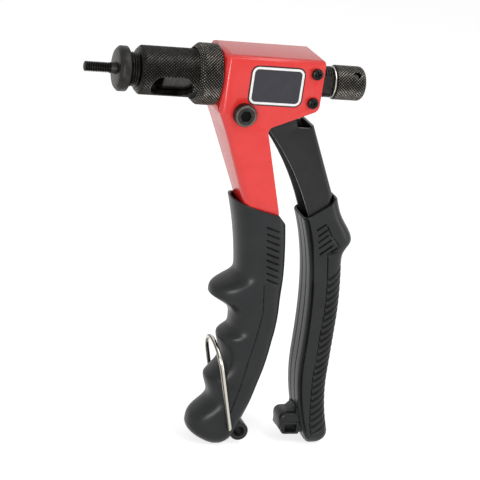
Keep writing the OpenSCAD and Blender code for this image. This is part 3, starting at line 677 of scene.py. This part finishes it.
def end_share(z, end, length, blunt=0.4):
    """Share of its full size that a grip keeps near its closed end, which is flat if blunt is large."""
    return np.where(z > end + length, 1,
                    np.sqrt(np.clip(1 - ((end + length - z) / (length + blunt)) ** 2, 0, 1)))


def bow(share, at, above, below):
    """How far in front of its rearmost point an arched line lies, where above and below say how much
    it bends on either side of that."""
    s = share - at
    return np.where(s < 0, above, below) * s * s


def closing(width, kept):
    """Half width of a grip near its closed end, where the sides come together less than the depth."""
    return width * (0.4 + 0.6 * kept)


def on_sides(y, start):
    """0 near a grip's middle plane, rising over 3 mm beyond the start to 1 on its sides."""
    return np.clip((np.abs(y) - start) / 3, 0, 1)


grip_top, fixed_len, moving_len = -72, 156, 155.8
fixed_end, moving_end = grip_top - fixed_len, grip_top - moving_len
# Where the closed ends come together, in x
fixed_middle, moving_middle = 90, 149.5
groove_width = 1.9
# Swellings between the fingers: share of the length, reach, width above and below, power above
finger_rests = ((0.3883, 15.1, 0.065, 0.04, 3.3), (0.5625, 6.1, 0.027, 0.069, 2.4),
                (0.7341, 9.2, 0.05, 0.091, 1.6), (0.93, 14.2, 0.087, 0.1, 3.2))


def fixed_lines(z):
    """Front, rear and half width of the fixed grip at a height, and the bluntness of its section."""
    share = (grip_top - z) / fixed_len
    # The grip arches backwards, and the finger rests stand out of its front
    front = 89.6 - bow(share, 0.4426, 59.2, 14.8)
    front = front - sum(reach * swell(share, at, up, low, power, 1.6)
                        for at, reach, up, low, power in finger_rests)
    rear = 116.8 - bow(share, 0.423, 40.9, 59.2)
    kept = end_share(z, fixed_end, 8)
    return (fixed_middle + kept * (front - fixed_middle), fixed_middle + kept * (rear - fixed_middle),
            closing(17 - 3.1 * share, kept), 2.3, 4)


fixed_depth, crease_width = 1.15, 1.5
# Nine slanting grooves below the mouth, and a long crease down each side
fixed_grooves = [
    ((98.3 + 0.65 * k, -85.5 - 4.09 * k), (106.7 + 0.52 * k, -88.2 - 4.11 * k)) for k in range(9)]
fixed_crease = ((102.6, -121.8), (104.6, -140), (103.9, -148.3), (102.6, -160.1), (100.6, -170.9),
                (98.4, -187.2), (96.9, -194.3), (94.3, -205.3))


def fixed_relief(x, y, z, lap):
    """Depth of the fixed grip's grooves at each point, and its share of their full depth, which paints
    shade.
    """
    share = 0.7 * groove(x, z, fixed_crease, crease_width)
    for line in fixed_grooves:
        share = np.maximum(share, groove(x, z, line, groove_width))
    side = on_sides(y, 7)
    return fixed_depth * share * side, share * side


fixed_mouth = ((40, -61.9), (77, -71.3), (105.2, -78.4), (112, -85.4), (134, -85.4))
moulding("fixed_grip_moulding", fixed_lines, fixed_mouth, level=-96, end=fixed_end, step=0.5, count=230,
         relief=fixed_relief, body="frame", node="fixed_grip")


def moving_lines(z):
    """Front, rear and half width of the moving grip at a height, and the bluntness of its section."""
    share = (grip_top - z) / moving_len
    # Front and rear lean forwards above and run back below, and the rear swells out near the mouth
    s = share - 0.637
    front = 135.1 + np.where(s < 0, -60.6 * np.abs(s) ** 2.88, 98.4 * s * s)
    rear = (155.5 - 45.8 * np.clip(0.49 - share, 0, None) ** 2
            + 104.9 * np.clip(share - 0.7, 0, None) ** 2 + 6.8 * swell(share, 0.139, 0.073, 0.0445))
    kept = end_share(z, moving_end, 10.5, 0.25)
    # The front is blunt, and rounder towards the foot
    flat_front = 2.4 + 4.6 * end_share(z, moving_end, 16)
    return (moving_middle + kept * (front - moving_middle),
            moving_middle + kept * (rear - moving_middle), closing(12.7, kept), flat_front, 3)


# Six slanting grooves below the mouth
moving_grooves = (((131.6, -87.5), (136.2, -83.7)), ((133.1, -91.1), (137.7, -87.2)),
                  ((133.7, -95), (139, -90.4)), ((134.7, -98.6), (141.1, -93.5)),
                  ((135.8, -102.4), (142.9, -96.7)), ((140.6, -102.5), (146.3, -97.8)))
# The line that runs from the mouth over the top of the ribs, and then down in front of them
border_top = ((137.4, -84.6), (140.6, -90), (147.6, -97.4), (146.6, -100.4))
border_front = ((140.8, -103.2), (143.4, -120.9), (144.7, -138.9), (144.4, -154.6), (144.6, -164.5),
                (144.7, -173.1), (144.1, -180.3), (144.9, -191.2), (145.8, -200.9), (146.5, -207),
                (147.6, -214), (149.4, -221))
border_width, moving_depth = 1.4, 1.6
# The ribs on the rear: pitch, how much higher they stand at the rear, the first one, their number
# and the width of the grooves between them
rib_pitch, rib_rise, first_rib, rib_count, rib_gap = 4.42, 10.3, -118.9, 24, 2.5
# Two long recesses and two fine lines run down the front, at these laps from its middle
recess_lap, recess_depth, line_lap, line_half, line_depth = 11.3, 3.0, 3.6, 0.8, 0.35


def moving_relief(x, y, z, lap):
    """Depth of the moving grip's grooves at each point, and its share of their full depth, which paints
    shade.
    """
    rear = moving_lines(z)[1]
    border_x, border_z = np.transpose(border_front)
    border = np.interp(-z, -border_z, border_x)
    across = np.clip((x - border) / (rear - border), 0, 1)
    wave = (z - rib_rise * (0.45 * across + 0.55 * across ** 2) - first_rib) / rib_pitch
    nearest = np.round(wave)
    between = np.clip(1 - np.abs(wave - nearest) * rib_pitch / (rib_gap / 2), 0, 1)
    inside = np.clip((x - border) / 0.5, 0, 1) * (nearest <= 0) * (nearest > -rib_count)
    share = between ** 0.8 * inside
    side = on_sides(y, 5)
    share = np.maximum(share, 0.6 * groove(x, z, border_top + border_front, border_width) * side)
    for line in moving_grooves:
        share = np.maximum(share, groove(x, z, line, groove_width) * side)
    # The recesses have steep walls and fade out above the foot
    foot = np.clip((z - moving_end - 4) / 5, 0, 1)
    recess = np.clip(1.7 - np.abs(lap - recess_lap) / 0.95, 0, 1) ** 0.8 * foot
    fine = np.clip(1 - np.abs(lap - line_lap) / line_half, 0, 1)
    depth = np.maximum(moving_depth * share, np.maximum(recess_depth * recess, line_depth * fine))
    # This share paints shade: black in the recesses and a little along the fine lines
    return depth, np.maximum(share, np.maximum(recess, 0.2 * fine))


moving_mouth = ((100, -98.2), (125.2, -79.9), (138.2, -71), (140.6, -67.8), (142.4, -67.8),
                (146.8, -73.6), (170, -73.6))
moulding("moving_grip_moulding", moving_lines, moving_mouth, level=-104, end=moving_end, step=0.38,
         count=220, relief=moving_relief, body="lever", node="moving_grip")


# The lug with two sockets at the foot of the moving grip

# Its front edge, how far it runs back into the grip, and its height
lug_x, lug_rear, lug_low, lug_high = 130, 148, moving_end + 5.8, moving_end + 17.6
lug_block = rounded([(lug_x + 0.9, lug_low, 4), (lug_rear, lug_low + 0.4, 0),
                     (lug_rear, lug_high + 3, 0), (lug_x - 1.4, lug_high + 1.8, 4)])
lug = place_piece("moving_grip_lug", *prism(lug_block, -8, 8, edge=3), "lever", "grip_plastic")
# A sloping back above the block
lug_back = rounded([(lug_x + 2.5, lug_high - 3, 0), (lug_rear, lug_high - 3, 0),
                    (lug_rear, lug_high + 6, 0), (lug_x + 9, lug_high + 6, 0),
                    (lug_x + 2.5, lug_high - 0.5, 1)])
combine(lug, *prism(lug_back, -5, 5, edge=0.8), "UNION")
# On each side a rib up to the grip, a raised frame and the socket in it
lug_rib = [(lug_x + 14, lug_high + 7), (lug_x + 9.2, lug_high + 5), (lug_x + 9.6, lug_high + 0.6),
           (lug_x + 11.2, lug_low + 7.6), (lug_x + 12.6, lug_low + 7.6),
           (lug_x + 11.2, lug_high + 1.6)]
socket_frame = rounded([(lug_x + 1, lug_low, 2.4), (lug_x + 12.6, lug_low + 0.2, 0.8),
                        (lug_x + 12.6, lug_low + 8.2, 0.8), (lug_x + 1, lug_low + 8.2, 1.8)])
socket = rounded([(lug_x + 3.2, lug_low + 1.5, 0.8), (lug_x + 10.8, lug_low + 1.5, 0.8),
                  (lug_x + 10.8, lug_low + 6.8, 0.8), (lug_x + 3, lug_low + 6.8, 0.8)])
for side in (-1, 1):
    for outline, near, far, edge, operation in (
            (lug_rib, 5, 7.8, 0.4, "UNION"), (socket_frame, 5, 8.5, 0.5, "UNION"),
            (socket, 4, 12, 0, "DIFFERENCE")):
        low, high = sorted((side * near, side * far))
        combine(lug, *prism(outline, low, high, edge), operation)


# Rings across the frame

def cross_ring(name, x, z, profile, slot, material=None):
    """A ring on the frame about a line along Y, turned from a profile of radius and y."""
    step = 6
    points = [(u, y, w) for r, y in profile for u, w in circle(x, z, r, step)]
    faces = ring_faces(len(profile), 360 // step, closed=True)
    return place_piece(name, points, faces, "frame", slot, material=material)


# The round lug for a lanyard at the foot of the fixed grip
lanyard_x, lanyard_z = 103.2, fixed_end + 8.6
lanyard_side = [(3.2, 10.2), (3.5, 10.5), (5, 10.5), (5.6, 10.3), (5.8, 9.8)]
cross_ring("lanyard_lug", lanyard_x, lanyard_z,
           [(r, -y) for r, y in lanyard_side] + lanyard_side[::-1], "grip_plastic")

# The rim of the pivot bolt's head in lighter steel, a painted highlight, and a near-black disc in
# its hexagon socket, painted shade
pivot_x, pivot_z, head_face, socket_corner = 73, -17.3, -23, 3.4
cross_ring("pivot_bolt_rim", pivot_x, pivot_z, (
    (5, head_face + 0.1), (5.15, head_face - 0.15), (5.5, head_face - 0.3), (5.9, head_face - 0.25),
    (6.2, head_face + 0.1)), "black_oxide", material=rim_highlight_steel)
# A near-black disc at the bottom of the hexagon socket: painted shade
points, faces = prism(circle(pivot_x, pivot_z, socket_corner, 60), head_face + 1, head_face + 1.2)
place_piece("pivot_bolt_socket_shade", points, faces, "frame", "black_oxide", material=socket_shade)


# The latch: one wire from a foot in the fixed grip over the loop to the other foot

bail_x, bail_z, bail_tilt = 95, fixed_end + 12.4, -15
bail_half, bail_leg, bail_foot, wire_r, wire_bend = 16.1, 38.9, 10, 1.35, 2
# Columns round the wire, and where the painted dark stripes lie and how far they fade, in degrees
wire_columns, stripe_angles, stripe_fade = 36, (85, 224, 322), 16


def bail_path():
    """Centre line of the bail before it is tilted, as y and z, with the tangent at each point."""
    corner = [(-bail_half + wire_bend * (1 - math.sin(a)), wire_bend * (1 - math.cos(a)),
               -math.cos(a), math.sin(a)) for a in np.radians(np.arange(0, 91, 9))]
    loop = [(-bail_half * math.cos(a), bail_leg + bail_half * math.sin(a), math.sin(a), math.cos(a))
            for a in np.radians(np.arange(0, 181, 4))]
    far_corner = [(-y, z, ty, -tz) for y, z, ty, tz in corner[::-1]]
    return [(-bail_foot, 0, -1, 0), *corner, *loop, *far_corner, (bail_foot, 0, -1, 0)]


def bail_wire():
    """Points and faces of the wire along the bail's centre line, and at each point how much of a
    painted dark stripe it has."""
    around = np.arange(wire_columns) * 360 / wire_columns
    points = [(wire_r * math.sin(a), y + wire_r * math.cos(a) * tz, z - wire_r * math.cos(a) * ty)
              for y, z, ty, tz in bail_path() for a in np.radians(around)]
    once_round = [np.clip(1.7 - min(abs(a - at) for at in stripe_angles) / stripe_fade, 0, 1) for a in around]
    rows, last = len(points) // wire_columns, len(points) - wire_columns
    faces = ring_faces(rows, wire_columns)
    faces += [list(range(wire_columns)), list(range(last, last + wire_columns))]
    return rotated(points, "Y", bail_tilt) + (bail_x, 0, bail_z), faces, once_round * rows


points, faces, painted_stripe = bail_wire()
bail = place_piece("latch_bail_wire", points, faces, "latch", "nickel_wire", ("latch_bail",), crease=60)
give_values(bail.data, "painted_stripe", painted_stripe)


# The bare label: a white printed line round a dark field

label_x, label_half, label_r, label_face = (74.8, 105.6), 10.7, 3.6, -18.35


def label_outline(inset):
    """Outline of the label's printed edge, set in by a distance, with rounded corners."""
    front, rear, half, r = label_x[0] + inset, label_x[1] - inset, label_half - inset, label_r - inset
    return rounded([(front, -half, r), (rear, -half, r), (rear, half, r), (front, half, r)])


# Each layer stands a hundredth of a millimetre in front of the one under it
edge_face, field_face, border_face, label_back = (label_face + y for y in (-0.01, -0.02, -0.03, 0.1))
outer, inner = label_outline(-0.2), label_outline(1.15)
points = [(x, y, z) for outline, y in ((outer, border_face), (inner, border_face), (inner, label_back),
                                       (outer, label_back)) for x, z in outline]
faces = ring_faces(4, len(outer), closed=True)
place_piece("label_border", points, faces, "frame", "label_film", material=white_print)
points, faces = prism(label_outline(1.4), field_face, label_back)
place_piece("label_field", points, faces, "frame", "label_film", material=grey_print)
points, faces = prism(label_outline(-0.9), edge_face, label_face + 0.4)
place_piece("label_edge", points, faces, "frame", "label_film")


# Finishes of the CAD nodes that show as they are

def dress(names, slot, edge=0.0):
    """Gives CAD nodes their finish, smooth bends and, in millimetres, a radius along their edges."""
    for name in names:
        piece = nodes[name]
        piece.data.materials.clear()
        piece.data.materials.append(finishes[slot])
        piece.data.polygons.foreach_set("material_index", [0] * len(piece.data.polygons))
        if edge:
            weld = piece.modifiers.new("weld", "WELD")
            weld.merge_threshold = 0.002 * MM
            bevel = piece.modifiers.new("edges", "BEVEL")
            bevel.width, bevel.segments = edge * MM, 2
            bevel.limit_method, bevel.angle_limit = "ANGLE", math.radians(crease_angle)
            bevel.harden_normals = True
        soften(piece)


dress(["body_shell"], "red_enamel", edge=0.35)
dress(["label_plate"], "label_film")
dress(["nose_tube", "spindle", "trunnion_block", "knob_pin"], "black_oxide")
dress(["pivot_bolt", "pivot_nut", "guide_screws"], "black_oxide", edge=0.25)
nodes["guide_screws"].data.materials[0] = black_zinc
dress(["lever_channel"], "black_coat", edge=0.4)
dress(["rear_guide"], "cast_alloy")
dress(["mandrel_chuck", "chuck_nut"], "grey_steel")
dress(["pivot_bush", "pivot_spacers", "draw_nut"], "bright_steel")


# Floor, light and camera

scene = bpy.context.scene
scene.view_settings.view_transform = "Standard"


def background_rays(tree):
    """1 for rays that show the background: seen by the camera, mirrored or through glass."""
    rays = add(tree, "ShaderNodeLightPath")
    gloss = add(tree, "ShaderNodeMath", {
        0: rays.outputs["Is Glossy Ray"], 1: rays.outputs["Is Transmission Ray"]}, operation="MAXIMUM")
    return add(tree, "ShaderNodeMath", {
        0: gloss.outputs[0], 1: rays.outputs["Is Camera Ray"]}, operation="MAXIMUM").outputs[0]


def white_paper():
    """Matt white background paper, with a glow that only the eye and mirrors see, so that it stays
    near white and lights nothing itself."""
    material = bpy.data.materials.new("white_paper")
    material.use_nodes = True
    tree = material.node_tree
    tree.nodes.clear()
    matt = add(tree, "ShaderNodeBsdfDiffuse", {"Color": linear("#f2f2f2")})
    glow = add(tree, "ShaderNodeEmission", {"Color": (1, 1, 1, 1), "Strength": 0.66})
    lit = add(tree, "ShaderNodeAddShader", {0: matt.outputs[0], 1: glow.outputs[0]})
    mix = add(tree, "ShaderNodeMixShader", {
        0: background_rays(tree), 1: matt.outputs[0], 2: lit.outputs[0]})
    add(tree, "ShaderNodeOutputMaterial", {"Surface": mix.outputs[0]})
    return material


# White all round to the eye, with only part of that strength as light
world = bpy.data.worlds.new("studio")
world.use_nodes = True
tree = world.node_tree
tree.nodes.clear()
room_light = 0.3
strength = add(tree, "ShaderNodeMapRange", {
    "Value": background_rays(tree), "To Min": room_light, "To Max": 1.0})
sky = add(tree, "ShaderNodeBackground", {"Strength": strength.outputs["Result"], "Color": (1, 1, 1, 1)})
add(tree, "ShaderNodeOutputWorld", {"Surface": sky.outputs["Background"]})
scene.world = world

# The floor lies just below the lowest point, so that the two share no plane
floor_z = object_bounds()[0][2] - 0.0004
floor_half = 6
mesh = bpy.data.meshes.new("floor")
mesh.from_pydata([(x * floor_half, y * floor_half, floor_z)
                  for x, y in ((-1, -1), (1, -1), (1, 1), (-1, 1))], [], [[0, 1, 2, 3]])
mesh.materials.append(white_paper())
floor = bpy.data.objects.new("floor", mesh)
scene.collection.objects.link(floor)


tool_middle = Vector((0.085, 0, -0.1))


def soft_box(name, spot, width, length, power, along=(0, 0, 1)):
    """A lamp at a spot, pointed at the tool, with its sides in metres, its power in watts and the
    direction that its length follows."""
    lamp = bpy.data.lights.new(name, "AREA")
    lamp.shape, lamp.size, lamp.size_y, lamp.energy = "RECTANGLE", width, length, power
    holder = bpy.data.objects.new(name, lamp)
    away = (Vector(spot) - tool_middle).normalized()
    across = Vector(along).cross(away).normalized()
    turn = Matrix((across, away.cross(across), away)).transposed().to_4x4()
    holder.matrix_world = Matrix.Translation(spot) @ turn
    scene.collection.objects.link(holder)


# In front on the nose side, at the knob's side, and a long one above that draws the light along the
# bends of the head
soft_box("key", (-0.55, -1.15, 0.15), 0.45, 0.45, 9)
soft_box("fill", (1.1, -0.6, 0.02), 0.4, 0.7, 3.2)
soft_box("bends", (0.485, -0.4, 1.01), 0.3, 1.1, 4.2, along=(0, 0.94, 0.34))

# The camera stands as the photograph's does: turned to the nose side, a little above, and tilted
azimuth, elevation, roll = math.radians(-19.96), math.radians(18.69), math.radians(8.74)
target, distance = Vector((0.08884, 0, -0.09958)), 1.18
back = Vector((math.sin(azimuth) * math.cos(elevation), -math.cos(azimuth) * math.cos(elevation),
               math.sin(elevation)))
level_right = Vector((math.cos(azimuth), math.sin(azimuth), 0))
level_up = back.cross(level_right)
right = level_right * math.cos(roll) + level_up * math.sin(roll)
up = level_up * math.cos(roll) - level_right * math.sin(roll)
lens = bpy.data.cameras.new("camera")
lens.sensor_width, lens.lens = 36, 150
camera = bpy.data.objects.new("camera", lens)
turn = Matrix((right, up, back)).transposed().to_4x4()
camera.matrix_world = Matrix.Translation(target + back * distance) @ turn
scene.collection.objects.link(camera)
scene.camera = camera
